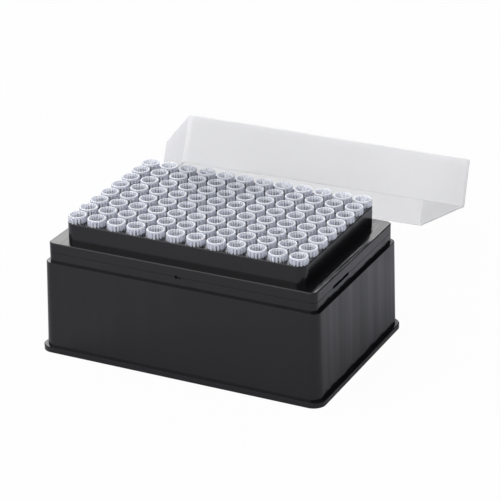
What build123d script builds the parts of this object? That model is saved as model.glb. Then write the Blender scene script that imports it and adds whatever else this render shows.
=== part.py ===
from build123d import *
from math import asin, atan, atan2, cos, degrees, hypot, pi, radians, sin
import os

# Box of pipette tips, in millimetres, +Z up. X runs along the columns and Y along the rows. The
# origin is on the table, under the middle of the base. The rack sits on the base's collar, a tip
# stands in each socket, and the lid is off: it leans behind the box with its mouth down, one
# corner on the table and its left rim on the last row of tips.

# Tip grid, at the standard plate pitch
columns = 12
rows = 8
pitch = 9.0
end_margin = 14.38            # outer tips' centres to the ends of the footprint
side_margin = 11.24           # outer tips' centres to its long sides

# Tips
tip_length = 52.0
tip_gap = 1.3                 # between neighbouring collars
collar_height = 2.95
collar_step = 0.9             # collar beyond the shank
rim_wall = 1.3
point_diameter = 1.3
point_wall = 0.35
collar_sides = 8              # flats round each collar
shank_sides = 6               # and round its shank, bore and socket

# Heights, from the tips' points down to the table and from the deck down to the foot
point_clearance = 7.5         # points above the table
deck_rise = 8.45              # deck above the shoulder
skirt_height = 4.3            # shoulder above the parting line
collar_band = 4.0             # parting line above the lid's seat
foot_height = 2.3             # flange that a gripper holds

# Base
foot_radius = 5.3
foot_edge = 0.25              # bevel of the flange's upper edge
wall_inset_low = 1.5          # flange's edge to the wall's foot
wall_inset_high = 2.5         # flange's edge to the wall's top
wall_radius = 3.4
wall_thickness = 1.6
seat_width = 1.4
seat_edge = 0.15
band_radius = 2.6
groove_edge = 0.1             # chamfers that draw the parting line

# Rack
shoulder_edge = 0.3
shoulder_thickness = 1.5
deck_margin = 0.1             # deck's edge beyond the outer collars
deck_edge = 0.25
deck_thickness = 1.8
socket_clearance = 0.2        # shank to socket
socket_relief = 0.1           # outer sockets to the hollow's wall
lip_depth = 3.5               # locating lip below the parting line
lip_thickness = 1.2
lip_clearance = 0.15
rib_thickness = 1.2           # stiffening ribs under the deck
rib_depth = 4.0
rib_every = 3                 # columns from rib to rib

# Latches on the parting line
slot_gap = 1.4
slot_depth = 0.8
end_slot = 15.2
end_slot_offset = 14.6        # its middle, from the middle of the end
side_slot = 2.8
nub_width = 2.6
nub_offset = 13.2             # its middle, from the middle of the end
nub_inset = 0.4               # nub's face behind the band

# Lid
lid_overhang = 0.6            # beyond the wall's top
lid_wall = 1.15
lid_panel = 0.8
lid_clearance = 0.15          # closed panel above the tips' rims
lid_radius = 2.0
lid_edge = 0.8                # rounding round the panel
lid_yaw = 36.5                # degrees
lid_bank = 13.5               # degrees
lid_contact = 9.6             # touching point on the left rim, from the rim's upper corner
touch_column = 3              # of the tip under it, in the last row
touch_angle = 155.0           # degrees, of the touching point round that tip's rim
rest_gap = 0.25               # lid to the tip and to the table

# Sizes that follow
grid_span = ((columns - 1) * pitch, (rows - 1) * pitch)
footprint = (grid_span[0] + 2 * end_margin, grid_span[1] + 2 * side_margin)
collar_radius = (pitch - tip_gap) / 2
shank_radius = collar_radius - collar_step
socket_radius = shank_radius + socket_clearance
rim_height = point_clearance + tip_length
deck_height = rim_height - collar_height
shoulder_height = deck_height - deck_rise
parting_height = shoulder_height - skirt_height
seat_height = parting_height - collar_band


def grown(size, margin):
    """Length and width with a margin added all round."""
    return [side + 2 * margin for side in size]


wall_foot = grown(footprint, -wall_inset_low)
wall_top = grown(footprint, -wall_inset_high)
band = grown(wall_top, -seat_width)
band_inside = grown(band, -wall_thickness)

os.makedirs("parts", exist_ok=True)

# Latch slots: on each end and each long side, cut half into the base and half into the rack
with BuildPart() as latch_slots:
    with BuildSketch(Plane.XY.offset(parting_height - slot_gap / 2)):
        with Locations((band[0] / 2, -end_slot_offset), (-band[0] / 2, end_slot_offset)):
            Rectangle(2 * slot_depth, end_slot)
        with GridLocations(0, band[1], 1, 2):
            Rectangle(side_slot, 2 * slot_depth)
    extrude(amount=slot_gap)

# Base: an open frame with a wide foot, a wall that narrows upwards, and the band on its seat
with BuildPart() as base:
    with BuildSketch():
        RectangleRounded(*footprint, foot_radius)
    extrude(amount=foot_height)
    chamfer(base.faces().sort_by(Axis.Z)[-1].edges(), foot_edge)

    wall_height = seat_height - foot_height
    wall_draft = degrees(atan((wall_inset_high - wall_inset_low) / wall_height))
    foot_corner = wall_radius + wall_inset_high - wall_inset_low
    with BuildSketch(Plane.XY.offset(foot_height)):
        RectangleRounded(*wall_foot, foot_corner)
    extrude(amount=wall_height, taper=wall_draft)
    chamfer(base.faces().sort_by(Axis.Z)[-1].edges(), seat_edge)

    with BuildSketch(Plane.XY.offset(seat_height)):
        RectangleRounded(*band, band_radius)
    extrude(amount=collar_band)
    chamfer(base.faces().sort_by(Axis.Z)[-1].edges(), groove_edge)

    # the hollow under the seat, open below, and the opening that the rack closes
    with BuildSketch():
        RectangleRounded(*grown(wall_top, -wall_thickness), wall_radius - wall_thickness)
    extrude(amount=seat_height - wall_thickness, mode=Mode.SUBTRACT)
    with BuildSketch(Plane.XY.offset(parting_height)):
        RectangleRounded(*band_inside, band_radius - wall_thickness)
    extrude(amount=-collar_band - 2 * wall_thickness, mode=Mode.SUBTRACT)

    add(latch_slots.part, mode=Mode.SUBTRACT)
base.part.label = "base"
export_step(base.part, "parts/base.step")

# Rack: deck with a socket for each tip, shoulder, skirt and the lip that locates it in the base
with BuildPart() as rack:
    with BuildSketch(Plane.XY.offset(parting_height)):
        RectangleRounded(*band, band_radius)
    extrude(amount=skirt_height)
    chamfer(rack.faces().sort_by(Axis.Z)[-1].edges(), shoulder_edge)
    chamfer(rack.faces().sort_by(Axis.Z)[0].edges(), groove_edge)

    deck_corner = collar_radius + deck_margin
    with BuildSketch(Plane.XY.offset(shoulder_height)):
        RectangleRounded(*grown(grid_span, deck_corner), deck_corner)
    extrude(amount=deck_rise)
    chamfer(rack.faces().sort_by(Axis.Z)[-1].edges(), deck_edge)

    lip_bottom = Plane.XY.offset(parting_height - lip_depth)
    lip_corner = band_radius - wall_thickness
    lip = grown(band_inside, -lip_clearance)
    with BuildSketch(lip_bottom):
        RectangleRounded(*lip, lip_corner)
    extrude(amount=lip_depth)

    # hollow from below, up to the shoulder and then, just clear of the sockets, up to the deck
    with BuildSketch(lip_bottom):
        RectangleRounded(*grown(lip, -lip_thickness), lip_corner)
    extrude(amount=lip_depth + skirt_height - shoulder_thickness, mode=Mode.SUBTRACT)
    inside_corner = socket_radius + socket_relief
    deck_inside = grown(grid_span, inside_corner)
    with BuildSketch(Plane.XY.offset(shoulder_height - shoulder_thickness)):
        RectangleRounded(*deck_inside, inside_corner)
    extrude(amount=shoulder_thickness + deck_rise - deck_thickness, mode=Mode.SUBTRACT)

    # ribs between the sockets: one along the middle and one after every third column
    rib_places = [((count - columns / 2) * pitch, 0) for count in range(rib_every, columns, rib_every)]
    with BuildSketch(Plane.XY.offset(deck_height - deck_thickness)):
        with Locations(*rib_places):
            Rectangle(rib_thickness, deck_inside[1])
        with Locations((0, (rows // 2 - rows / 2) * pitch)):
            Rectangle(deck_inside[0], rib_thickness)
    extrude(amount=-rib_depth)

    # the end slots show the rack's catch as a nub, a little behind the band's face
    add(latch_slots.part, mode=Mode.SUBTRACT)
    nub_x = (band[0] - slot_depth - nub_inset) / 2
    with BuildSketch(Plane.XY.offset(parting_height)):
        with Locations((nub_x, -nub_offset), (-nub_x, nub_offset)):
            Rectangle(slot_depth - nub_inset, nub_width)
    extrude(amount=slot_gap / 2)

    with BuildSketch(Plane.XY.offset(deck_height)):
        with GridLocations(pitch, pitch, columns, rows):
            RegularPolygon(socket_radius, shank_sides)
    extrude(amount=-deck_thickness, mode=Mode.SUBTRACT)
rack.part.label = "rack"
export_step(rack.part, "parts/rack.step")


# Tip, drawn with its mouth down: a collar, a long tapered shank and one tapered bore
point_radius = point_diameter / 2
bore_radius = collar_radius - rim_wall
shank_length = tip_length - collar_height
flat_share = cos(pi / shank_sides)
shank_taper = degrees(atan((shank_radius - point_radius) * flat_share / shank_length))
bore_taper = degrees(atan((bore_radius - point_radius + point_wall) * flat_share / tip_length))
with BuildPart() as tip:
    with BuildSketch():
        RegularPolygon(collar_radius, collar_sides, major_radius=False, rotation=180 / collar_sides)
    extrude(amount=collar_height)
    with BuildSketch(Plane.XY.offset(collar_height)):
        RegularPolygon(shank_radius, shank_sides)
    extrude(amount=shank_length, taper=shank_taper)
    with BuildSketch():
        RegularPolygon(bore_radius, shank_sides)
    extrude(amount=tip_length, taper=bore_taper, mode=Mode.SUBTRACT)

# Each column of tips is a piece of its own, turned over so that the collars stand on the deck
for number in range(1, columns + 1):
    with BuildPart() as tips_column:
        with Locations(((number - (columns + 1) / 2) * pitch, 0, rim_height)):
            with GridLocations(pitch, pitch, 1, rows):
                add(tip.part, rotation=(180, 0, 0))
    tips_column.part.label = f"tips_column_{number:02d}"
    export_step(tips_column.part, f"parts/{tips_column.part.label}.step")

# Lid: a shallow cover that closes over the tips onto the base's seat. Off the box, its right
# back corner is on the table, and its lean follows from the height of the tip it rests on.
lid_size = grown(wall_top, lid_overhang)
lid_depth = rim_height + lid_clearance - seat_height
corner_cut = lid_radius * (1 - cos(radians(45)))
end_fall = (lid_size[0] - lid_wall - corner_cut) * sin(radians(lid_bank))
side_run = lid_size[1] - lid_contact - corner_cut
lid_lean = degrees(asin(rim_height / hypot(end_fall, side_run)) - atan2(end_fall, side_run))


def as_left(right, back, up):
    """A point or direction of the closed lid, turned the way the open one lies."""
    turned = Vector(right, back, up).rotate(Axis.Y, lid_bank).rotate(Axis.X, -lid_lean)
    return turned.rotate(Axis.Z, lid_yaw)


low_corner = as_left(lid_size[0] / 2 - corner_cut, lid_size[1] / 2 - corner_cut, 0)
touch = as_left(lid_wall - lid_size[0] / 2, lid_contact - lid_size[1] / 2, 0)
touch_x = (touch_column - (columns + 1) / 2) * pitch + collar_radius * cos(radians(touch_angle))
touch_y = grid_span[1] / 2 + collar_radius * sin(radians(touch_angle))
lid_centre = Vector(touch_x - touch.X, touch_y - touch.Y, rest_gap - low_corner.Z)
mouth = Plane(lid_centre, x_dir=as_left(1, 0, 0), z_dir=as_left(0, 0, 1))

with BuildPart() as lid:
    with BuildSketch(mouth):
        RectangleRounded(*lid_size, lid_radius)
    extrude(amount=lid_depth + lid_panel)
    panel = lid.faces().sort_by(Axis(mouth.origin, mouth.z_dir))[-1]
    fillet(panel.edges(), lid_edge)
    with BuildSketch(mouth):
        RectangleRounded(*grown(lid_size, -lid_wall), lid_radius - lid_wall)
    extrude(amount=lid_depth, mode=Mode.SUBTRACT)
lid.part.label = "lid"
export_step(lid.part, "parts/lid.step")
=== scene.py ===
import math
import bpy
from mathutils import Matrix, Vector


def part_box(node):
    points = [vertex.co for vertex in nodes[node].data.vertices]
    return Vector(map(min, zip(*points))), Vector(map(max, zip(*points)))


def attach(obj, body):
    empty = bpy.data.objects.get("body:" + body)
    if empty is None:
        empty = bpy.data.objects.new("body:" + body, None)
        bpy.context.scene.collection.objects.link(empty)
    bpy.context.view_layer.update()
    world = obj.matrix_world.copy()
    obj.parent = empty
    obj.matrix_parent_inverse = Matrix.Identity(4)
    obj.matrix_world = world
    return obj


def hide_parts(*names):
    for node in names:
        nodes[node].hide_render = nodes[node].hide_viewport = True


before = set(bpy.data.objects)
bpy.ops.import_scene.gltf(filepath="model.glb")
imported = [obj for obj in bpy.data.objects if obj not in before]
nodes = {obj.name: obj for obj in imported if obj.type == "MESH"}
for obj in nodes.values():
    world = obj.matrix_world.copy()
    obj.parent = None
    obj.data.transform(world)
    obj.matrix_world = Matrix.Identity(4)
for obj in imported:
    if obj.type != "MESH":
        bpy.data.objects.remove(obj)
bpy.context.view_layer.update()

MM = 0.001


# ---------------------------------------------------------------------------
# Base. One injection moulding in black polypropylene: flange, drafted wall, the seat for the lid
# and the band over it, in which the rack sits. Its CAD solid is shown as it is.
# ---------------------------------------------------------------------------
def linear(hex_code):
    """An sRGB colour such as "#1a1b1d" as linear RGBA."""
    channels = [int(hex_code[i:i + 2], 16) / 255 for i in (1, 3, 5)]
    return (*[c / 12.92 if c <= 0.04045 else ((c + 0.055) / 1.055) ** 2.4 for c in channels], 1.0)


def add_node(tree, kind, inputs=None, **settings):
    """Adds a shader node. An input is a plain value or the socket that feeds it."""
    node = tree.nodes.new("ShaderNode" + kind)
    for name, value in settings.items():
        setattr(node, name, value)
    for name, value in (inputs or {}).items():
        if isinstance(value, bpy.types.NodeSocket):
            tree.links.new(value, node.inputs[name])
        else:
            node.inputs[name].default_value = value
    return node


def new_material(name):
    """A material with an empty node tree and its output."""
    material = bpy.data.materials.new(name)
    material.use_nodes = True
    material.node_tree.nodes.clear()
    return material, material.node_tree, add_node(material.node_tree, "OutputMaterial")


def dress(name, material):
    """Gives a CAD node its one material."""
    nodes[name].data.materials.clear()
    nodes[name].data.materials.append(material)


def black_polypropylene(name, flow_depth, edge_shade_share):
    """Moulded black polypropylene: a dark, fairly glossy skin. The resin's flow and shrinkage leave
    shallow upright waves that break reflections into soft streaks. Level tops have finer waves that
    run from front to back, and fall a little towards their outer ends, so they catch light there.
    The grain, drawn coarser than the real one, makes the gloss uneven. The narrow edges get a
    painted shade: a dark matt diffuse over the gloss that hides their highlights."""
    flow_spacing = 12 * MM
    grain_size = 0.5 * MM
    line_spacing = 2 * MM
    line_height = 0.18 * MM
    outer_fall = 0.288 * MM
    stretch = 0.04                            # waves and lines are far longer than wide
    shoulder_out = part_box("rack")[1][0]
    shoulder_in = shoulder_out - 6.5 * MM     # where the wall of the rack's deck stands on it

    # the skin's colour, waves and gloss
    material, tree, output = new_material(name)
    place = add_node(tree, "TexCoord").outputs["Object"]
    upright = add_node(tree, "Mapping", {
        "Vector": place, "Scale": (1.0, 1.0, stretch)}).outputs["Vector"]
    waves = add_node(tree, "TexNoise", {
        "Vector": upright, "Scale": 1 / flow_spacing, "Detail": 1.5}).outputs["Fac"]
    tint = add_node(tree, "ValToRGB", {"Fac": waves})
    tint.color_ramp.elements[0].color = linear("#08080b")
    tint.color_ramp.elements[1].color = linear("#0c0c10")
    grain = add_node(tree, "TexNoise", {
        "Vector": place, "Scale": 1 / grain_size, "Detail": 2.0}).outputs["Fac"]
    gloss = add_node(tree, "MapRange", {
        "Value": grain, "To Min": 0.14, "To Max": 0.24}).outputs["Result"]

    # 1 on a level face, 0 on an upright one
    face = add_node(tree, "NewGeometry").outputs["True Normal"]
    slope = add_node(tree, "SeparateXYZ", {"Vector": face}).outputs["Z"]
    level = add_node(tree, "Math", {0: slope, 1: slope}, operation="MULTIPLY").outputs[0]

    # the lines and the fall of level faces
    across = add_node(tree, "Mapping", {
        "Vector": place, "Scale": (1.0, stretch, 1.0)}).outputs["Vector"]
    lines = add_node(tree, "TexNoise", {
        "Vector": across, "Scale": 1 / line_spacing, "Detail": 1.0}).outputs["Fac"]
    x = add_node(tree, "SeparateXYZ", {"Vector": place}).outputs["X"]
    side = add_node(tree, "Math", {0: x}, operation="ABSOLUTE").outputs[0]
    outward = add_node(tree, "MapRange", {
        "Value": side, "From Min": shoulder_in, "From Max": shoulder_out}).outputs["Result"]
    fall = add_node(tree, "Math", {0: outward, 1: outward}, operation="MULTIPLY").outputs[0]
    top = add_node(tree, "Math", {
        0: fall, 1: -outer_fall / line_height, 2: lines}, operation="MULTIPLY_ADD").outputs[0]
    top_height = add_node(tree, "Math", {0: top, 1: level}, operation="MULTIPLY").outputs[0]
    wavy = add_node(tree, "Bump", {
        "Height": waves, "Distance": flow_depth, "Strength": 1.0}).outputs["Normal"]
    surface = add_node(tree, "Bump", {
        "Height": top_height, "Distance": line_height, "Strength": 1.0,
        "Normal": wavy}).outputs["Normal"]
    skin = add_node(tree, "BsdfPrincipled", {
        "Base Color": tint.outputs["Color"], "Roughness": gloss, "IOR": 1.5,
        "Normal": surface}).outputs["BSDF"]

    # an edge is neither level nor upright
    tilt = add_node(tree, "Math", {0: 1.0, 1: level}, operation="SUBTRACT").outputs[0]
    edge = add_node(tree, "Math", {0: level, 1: tilt}, operation="MULTIPLY").outputs[0]
    # painted shade: on the edges a dark matt diffuse takes the place of the gloss, so they show no
    # highlight line
    painted_edge_shade = add_node(tree, "MapRange", {
        "Value": edge, "From Min": 0.1, "From Max": 0.2, "To Max": edge_shade_share}).outputs["Result"]
    edge_shade_bsdf = add_node(tree, "BsdfDiffuse", {"Color": linear("#18181b")}).outputs["BSDF"]
    both = add_node(tree, "MixShader", {"Fac": painted_edge_shade, 1: skin, 2: edge_shade_bsdf}).outputs["Shader"]
    tree.links.new(both, output.inputs["Surface"])
    return material


dress("base", black_polypropylene(
    "moulded_black_polypropylene_base", flow_depth=0.9 * MM, edge_shade_share=0.85))


# ---------------------------------------------------------------------------
# Rack. A second moulding in the same black polypropylene, with the sockets in its raised deck. It
# drops into the base's band and snaps in at the slots on the parting line. It has flatter walls
# than the base, and its CAD solid is shown as it is.
# ---------------------------------------------------------------------------
dress("rack", black_polypropylene(
    "moulded_black_polypropylene_rack", flow_depth=0.12 * MM, edge_shade_share=0.4))


# ---------------------------------------------------------------------------
# Tips. Ninety-six tips moulded in clear polypropylene. Each stands in its socket on a collar with
# upright ribs under a plain rim, and its shank tapers down to the point inside the box.
# ---------------------------------------------------------------------------
column_names = sorted(name for name in nodes if name.startswith("tips_column_"))
first_low, first_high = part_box(column_names[0])
deck_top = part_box("rack")[1][2]
tip_point = first_low[2]
tip_rim = first_high[2]
collar_radius = (first_high[0] - first_low[0]) / 2
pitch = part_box(column_names[1])[0][0] - first_low[0]
rows = round((first_high[1] - first_low[1] - 2 * collar_radius) / pitch) + 1

rib_count = 16
steps_per_rib = 4                 # facets round the collar for each rib and gap
gap_depth = 0.8 * MM              # of the gaps between the ribs
gap_end_depth = 0.12 * MM         # what is left of it under the rim
run_out = 0.7 * MM                # the height over which it falls to that
rim_band = 0.4 * MM               # plain rim over the ribs
rim_edge = 0.2 * MM
lead_in = 0.9 * MM                # depth of the cone that guides the pipette in
mouth_radius = 3.2 * MM
bore_radius = 2.65 * MM
deck_bore_radius = 2.55 * MM
shank_radius = 3.0 * MM
waist_radius = 1.5195 * MM
waist_bore_radius = 1.193 * MM
point_radius = 0.65 * MM
orifice_radius = 0.3 * MM
rib_top = tip_rim - rim_band
gap_top = rib_top - run_out
gap_radius = collar_radius - gap_depth
gap_middle = collar_radius - gap_depth / 2
gap_front = collar_radius - gap_depth * 0.9    # just outside the gaps' back wall
waist = tip_point + 18 * MM       # the taper changes here
tolerance = 0.001 * MM

# the tip's section, from the outside of its point up to the rim and down the bore
section = [
    (waist, waist_radius),
    (deck_top, shank_radius),
    (deck_top, gap_radius),
    (deck_top, collar_radius),
    (gap_top, collar_radius),
    (rib_top, collar_radius),
    (tip_rim - rim_edge, collar_radius),
    (tip_rim, collar_radius - rim_edge),
    (tip_rim, mouth_radius),
    (tip_rim - lead_in, bore_radius),
    (deck_top, deck_bore_radius),
    (waist, waist_bore_radius),
    (tip_point, orifice_radius),
]


def widen(share):
    """Scales what is selected about the tip's axis."""
    bpy.ops.transform.resize(value=(share, share, 1), center_override=(0, 0, 0))


def leave_edit_mode(kind):
    """Selects nothing and leaves edit mode, so that elements of a kind can be picked by place."""
    bpy.ops.mesh.select_all(action="DESELECT")
    bpy.ops.mesh.select_mode(type=kind)
    bpy.ops.object.mode_set(mode="OBJECT")


bpy.ops.object.select_all(action="DESELECT")
bpy.ops.mesh.primitive_circle_add(
    vertices=rib_count * steps_per_rib, radius=point_radius, location=(0, 0, 0))
tip = bpy.context.object
bpy.ops.object.mode_set(mode="EDIT")
bpy.ops.mesh.select_all(action="SELECT")
bpy.ops.transform.translate(value=(0, 0, tip_point))
height, radius = tip_point, point_radius
for next_height, next_radius in section:
    bpy.ops.mesh.extrude_region_move(TRANSFORM_OT_translate={"value": (0, 0, next_height - height)})
    widen(next_radius / radius)
    height, radius = next_height, next_radius
bpy.ops.mesh.select_non_manifold()
bpy.ops.mesh.bridge_edge_loops()
leave_edit_mode("FACE")


def in_gap(face):
    """Whether a face of the collar lies in one of the gaps between the ribs."""
    turn = math.atan2(face.center.y, face.center.x) / math.tau
    return math.floor(turn * rib_count * steps_per_rib) % steps_per_rib < steps_per_rib // 2


# the gaps are pushed in from the collar's wall
for face in tip.data.polygons:
    on_wall = face.center.xy.length > gap_middle
    face.select = deck_top < face.center.z < rib_top and on_wall and in_gap(face)
bpy.ops.object.mode_set(mode="EDIT")
bpy.ops.mesh.extrude_region_move()
widen(gap_radius / collar_radius)
leave_edit_mode("VERT")

# they run out towards the rim
for vertex in tip.data.vertices:
    pushed_in = vertex.co.xy.length < gap_middle
    vertex.select = abs(vertex.co.z - rib_top) < tolerance and pushed_in
bpy.ops.object.mode_set(mode="EDIT")
widen((collar_radius - gap_end_depth) / gap_radius)
leave_edit_mode("FACE")

# they are open below
for face in tip.data.polygons:
    in_floor = abs(face.center.z - deck_top) < tolerance
    face.select = in_floor and face.center.xy.length > gap_radius and in_gap(face)
bpy.ops.object.mode_set(mode="EDIT")
bpy.ops.mesh.delete(type="FACE")
bpy.ops.mesh.select_all(action="SELECT")
bpy.ops.mesh.remove_doubles(threshold=tolerance)
bpy.ops.mesh.normals_make_consistent(inside=False)
bpy.ops.object.mode_set(mode="OBJECT")

# the thin bore and gaps are clear, the ribs and the collar are hazy, and the solid rim and the
# ribs where they show through the mouth are milky
hazy, milky = 1, 2
for face in tip.data.polygons:
    outside = face.center.xy.length > gap_front
    behind_rib = not outside and not in_gap(face)
    if face.center.z > tip_rim - rim_edge or (face.center.z > tip_rim - lead_in and behind_rib):
        face.material_index = milky
    elif face.center.z > deck_top + tolerance and (outside or behind_rib):
        face.material_index = hazy

# one tip becomes a column of eight
tip.location = (0, first_low[1] + collar_radius, 0)
bpy.ops.object.transform_apply(location=True)
bpy.ops.object.shade_smooth_by_angle(angle=math.radians(35))
in_row = tip.modifiers.new("rows", "ARRAY")
in_row.count = rows
in_row.use_relative_offset = False
in_row.use_constant_offset = True
in_row.constant_offset_displace = (0, pitch, 0)
bpy.ops.object.modifier_apply(modifier=in_row.name)


def clear_polypropylene(name, clearness, glow):
    """Clear moulded polypropylene: nearly colourless, with a slight blue-white haze that keeps it
    from looking like glass, a soft gloss and faint flow lines along the tip. The thicker a part
    is, the less light goes straight through it, and some of it glows from the light behind."""
    line_spacing = 0.9 * MM
    line_depth = 0.01 * MM
    material, tree, output = new_material(name)
    place = add_node(tree, "TexCoord").outputs["Object"]
    along = add_node(tree, "Mapping", {
        "Vector": place, "Scale": (1.0, 1.0, 0.15)}).outputs["Vector"]
    flow = add_node(tree, "TexNoise", {
        "Vector": along, "Scale": 1 / line_spacing, "Detail": 2.0}).outputs["Fac"]
    haze = add_node(tree, "ValToRGB", {"Fac": flow})
    haze.color_ramp.elements[0].color = linear("#f2f4fb")
    haze.color_ramp.elements[1].color = linear("#fbfcfe")
    gloss = add_node(tree, "MapRange", {
        "Value": flow, "To Min": 0.05, "To Max": 0.12}).outputs["Result"]
    surface = add_node(tree, "Bump", {
        "Height": flow, "Distance": line_depth, "Strength": 0.6}).outputs["Normal"]
    skin = add_node(tree, "BsdfPrincipled", {
        "Base Color": haze.outputs["Color"], "Roughness": gloss, "IOR": 1.49,
        "Transmission Weight": clearness, "Normal": surface}).outputs["BSDF"]
    behind = add_node(tree, "BsdfTranslucent", {"Color": linear("#eef1fc")}).outputs["BSDF"]
    both = add_node(tree, "MixShader", {"Fac": glow, 1: skin, 2: behind}).outputs["Shader"]
    tree.links.new(both, output.inputs["Surface"])
    return material


for material in (
        clear_polypropylene("moulded_clear_polypropylene", clearness=0.97, glow=0.1),
        clear_polypropylene("moulded_hazy_polypropylene", clearness=0.55, glow=0.35),
        clear_polypropylene("moulded_milky_polypropylene", clearness=0.3, glow=0.2)):
    tip.data.materials.append(material)
for number, name in enumerate(column_names, start=1):
    column = tip if number == len(column_names) else tip.copy()
    if column is not tip:
        column.data = tip.data.copy()
        bpy.context.collection.objects.link(column)
    low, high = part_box(name)
    column.name = f"ribbed_tips_{number:02d}"
    column.data.transform(Matrix.Translation(((low[0] + high[0]) / 2, 0, 0)))
    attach(column, "root")
    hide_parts(name)


# ---------------------------------------------------------------------------
# Lid. A thin cover moulded in natural polypropylene with a frosted skin. It lifts off, and lies
# behind the box with one corner on the table and one rim on the last row of tips. Its CAD solid is
# shown as it is.
# ---------------------------------------------------------------------------
def frosted_polypropylene():
    """Natural polypropylene with a frosted skin: light comes through but no image does, so the
    sheet looks evenly pale grey. Along its edges a white matt diffuse is mixed in, a painted
    highlight that makes them read lighter. The frost is drawn coarser than the real one."""
    cloud_size = 30 * MM
    frost_size = 0.4 * MM
    frost_depth = 0.01 * MM
    edge_width = 0.6 * MM
    material, tree, output = new_material("frosted_natural_polypropylene")
    place = add_node(tree, "TexCoord").outputs["Object"]
    cloud = add_node(tree, "TexNoise", {
        "Vector": place, "Scale": 1 / cloud_size, "Detail": 2.0}).outputs["Fac"]
    tint = add_node(tree, "ValToRGB", {"Fac": cloud})
    tint.color_ramp.elements[0].color = linear("#f9f9fa")
    tint.color_ramp.elements[1].color = linear("#fdfdfe")
    frost = add_node(tree, "TexNoise", {
        "Vector": place, "Scale": 1 / frost_size, "Detail": 2.0}).outputs["Fac"]
    surface = add_node(tree, "Bump", {
        "Height": frost, "Distance": frost_depth, "Strength": 0.4}).outputs["Normal"]
    skin = add_node(tree, "BsdfPrincipled", {
        "Base Color": tint.outputs["Color"], "Roughness": 0.4, "IOR": 1.49,
        "Transmission Weight": 0.68, "Normal": surface}).outputs["BSDF"]
    glow = add_node(tree, "BsdfTranslucent", {"Color": tint.outputs["Color"]}).outputs["BSDF"]
    sheet = add_node(tree, "MixShader", {"Fac": 0.2, 1: skin, 2: glow}).outputs["Shader"]

    # along its edges a rounded normal leaves the flat one
    flat = add_node(tree, "NewGeometry").outputs["Normal"]
    rounded = add_node(tree, "Bevel", {"Radius": edge_width}, samples=4).outputs["Normal"]
    same = add_node(tree, "VectorMath", {
        0: flat, 1: rounded}, operation="DOT_PRODUCT").outputs["Value"]
    edge = add_node(tree, "MapRange", {
        "Value": same, "From Min": 0.98, "From Max": 0.85,
        "To Min": 0.0, "To Max": 0.5}).outputs["Result"]
    # painted highlight: a white matt diffuse is mixed in along the edges, so they read lighter than
    # the sheet
    milky = add_node(tree, "BsdfDiffuse", {"Color": linear("#fbfbfd")}).outputs["BSDF"]
    both = add_node(tree, "MixShader", {"Fac": edge, 1: sheet, 2: milky}).outputs["Shader"]
    tree.links.new(both, output.inputs["Surface"])
    return material


dress("lid", frosted_polypropylene())


# ---------------------------------------------------------------------------
# Table and light. A white sheet in a pale room that is dark at its back right end, under two soft
# boxes: a smaller one at the back left and a larger one at the front left.
# ---------------------------------------------------------------------------
table_size = 8.0
table_drop = 0.02 * MM            # keeps it off the faces that stand on it
bpy.ops.object.select_all(action="DESELECT")
bpy.ops.mesh.primitive_plane_add(size=table_size, location=(0, 0, -table_drop))
table = bpy.context.object
table.name = "white_table"
bpy.ops.object.transform_apply(location=True)


def camera_looks(tree):
    """1 where the camera looks, straight or through clear plastic, and 0 for other rays."""
    path = add_node(tree, "LightPath").outputs
    return add_node(tree, "Math", {
        0: path["Is Camera Ray"], 1: path["Is Transmission Ray"]}, operation="MAXIMUM").outputs[0]


# the sheet is white to the camera, all but the share that keeps the box's shadow
white_share = 0.97
fibre_spacing = 2.5 * MM
sheet, tree, output = new_material("white_paper_sheet")
place = add_node(tree, "TexCoord").outputs["Object"]
fibre = add_node(tree, "TexNoise", {
    "Vector": place, "Scale": 1 / fibre_spacing, "Detail": 2.0}).outputs["Fac"]
paper = add_node(tree, "ValToRGB", {"Fac": fibre})
paper.color_ramp.elements[0].color = linear("#c4c4cb")
paper.color_ramp.elements[1].color = linear("#cacad0")
matt = add_node(tree, "BsdfDiffuse", {"Color": paper.outputs["Color"]}).outputs[0]
share = add_node(tree, "Math", {
    0: camera_looks(tree), 1: white_share}, operation="MULTIPLY").outputs[0]
white = add_node(tree, "Emission", {"Color": (1, 1, 1, 1), "Strength": 1.0}).outputs[0]
both = add_node(tree, "MixShader", {"Fac": share, 1: matt, 2: white}).outputs[0]
tree.links.new(both, output.inputs["Surface"])
table.data.materials.append(sheet)

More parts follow.
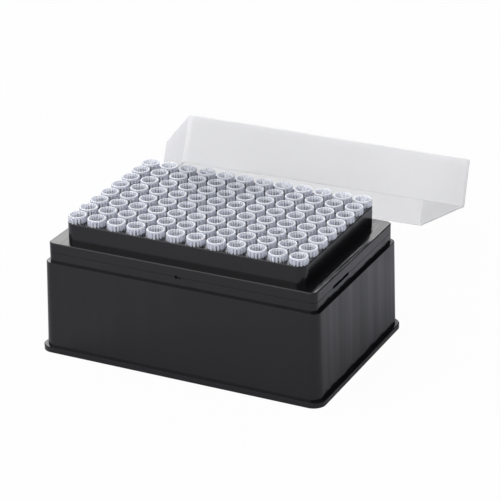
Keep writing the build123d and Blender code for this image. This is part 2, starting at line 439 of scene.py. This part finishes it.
room = bpy.data.worlds.new("white_room")
room.use_nodes = True
tree = room.node_tree
tree.nodes.clear()
facing = add_node(tree, "TexCoord").outputs["Generated"]
dark_end = (0.41, 0.82, 0.40)
towards_it = add_node(tree, "VectorMath", {
    0: facing, 1: dark_end}, operation="DOT_PRODUCT").outputs["Value"]
paint = add_node(tree, "MapRange", {
    "Value": towards_it, "From Min": 0.6, "From Max": 0.95,
    "To Min": 0.75, "To Max": 0.1}).outputs["Result"]
level = add_node(tree, "Mix", {
    "Factor": camera_looks(tree), "A": paint, "B": 1.0}).outputs["Result"]
walls = add_node(tree, "Background", {"Color": (1, 1, 1, 1), "Strength": level}).outputs[0]
add_node(tree, "OutputWorld", {"Surface": walls})
bpy.context.scene.world = room


def soft_box(name, place, size, power):
    """A square lamp that faces the middle of the box."""
    box_middle = Vector((0, 0, 30)) * MM
    lamp = bpy.data.lights.new(name, "AREA")
    lamp.size = size
    lamp.energy = power
    holder = bpy.data.objects.new(name, lamp)
    holder.location = place
    holder.rotation_euler = (box_middle - Vector(place)).to_track_quat("-Z", "Y").to_euler()
    bpy.context.collection.objects.link(holder)


soft_box("soft_box_back_left", place=(-0.75, 1.35, 1.0), size=1.3, power=12.0)
soft_box("soft_box_front_left", place=(-0.6, -1.2, 1.3), size=1.8, power=22.0)


# ---------------------------------------------------------------------------
# Camera. A long lens, a little over the box and to the right of its front, with the least roll.
# ---------------------------------------------------------------------------
azimuth = math.radians(26.10)
elevation = math.radians(24.02)
roll = math.radians(-0.6475)
distance = 907.79 * MM
target = Vector((12.95, 0, 42.36)) * MM
forward = Vector((
    -math.sin(azimuth) * math.cos(elevation),
    math.cos(azimuth) * math.cos(elevation),
    -math.sin(elevation)))
right = forward.cross(Vector((0, 0, 1))).normalized()
up = right.cross(forward)
turn = Matrix((right, up, -forward)).transposed() @ Matrix.Rotation(roll, 3, "Z")

lens = bpy.data.cameras.new("long_lens")
lens.sensor_width = 36.0
lens.lens = 159.5
lens.clip_start = 0.05
camera = bpy.data.objects.new("camera", lens)
camera.matrix_world = Matrix.Translation(target - forward * distance) @ turn.to_4x4()
bpy.context.collection.objects.link(camera)
bpy.context.scene.camera = camera
bpy.context.scene.view_settings.view_transform = "Standard"
